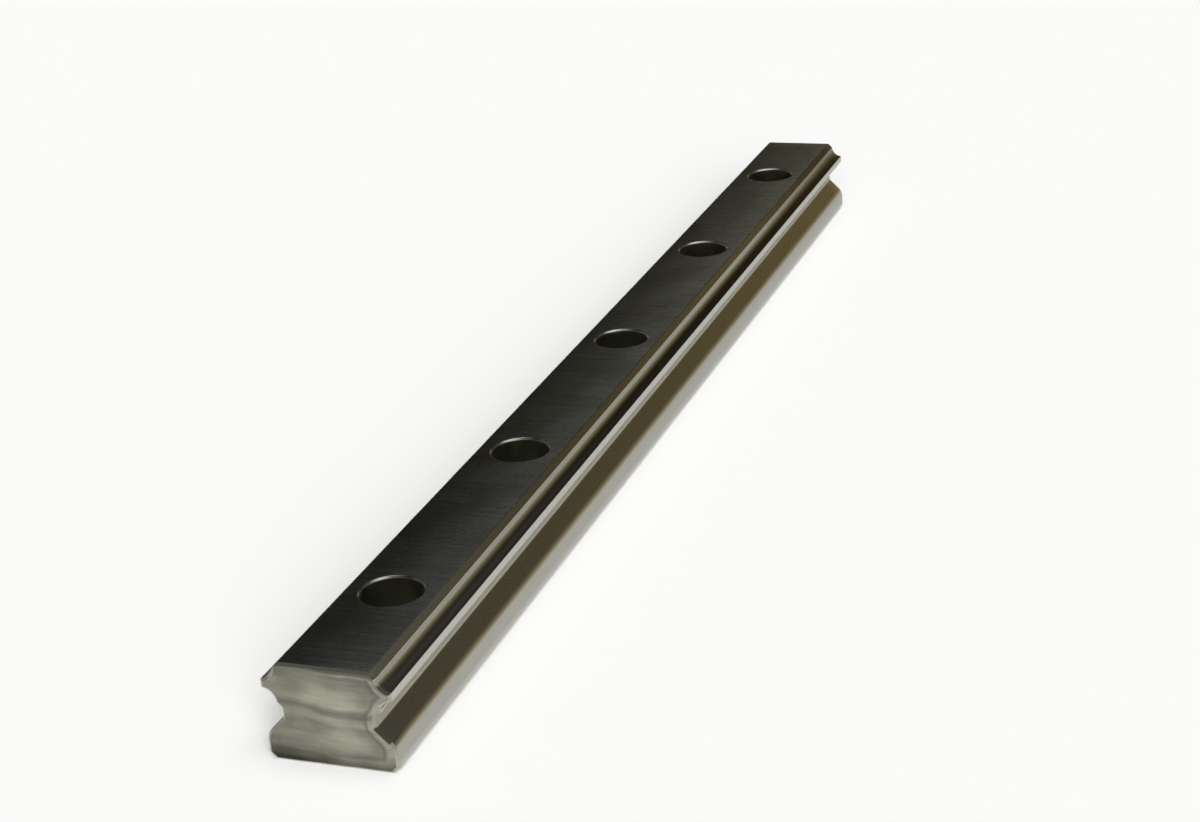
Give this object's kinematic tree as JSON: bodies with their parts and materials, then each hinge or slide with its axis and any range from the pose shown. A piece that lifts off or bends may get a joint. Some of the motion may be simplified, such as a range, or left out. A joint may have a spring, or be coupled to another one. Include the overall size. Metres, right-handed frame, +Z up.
{
  "type": "linear guide rail",
  "caption": "Straight profiled steel rail with ground ball tracks along both flanks and a row of counterbored screw holes down the middle, the fixed half of a linear guide.",
  "frame": {"origin": "middle of the underside, half way along the rail", "axes": "+Y along the rail, +Z up out of the top face, +X across to the right-hand side"},
  "size_m": [0.023, 0.2972, 0.018],
  "materials": {
    "ground_steel": "hardened steel, ground along the flanks and across the top, cut ends"
  },
  "bodies": {
    "root": {"rail": "ground_steel"}
  },
  "joints": []
}
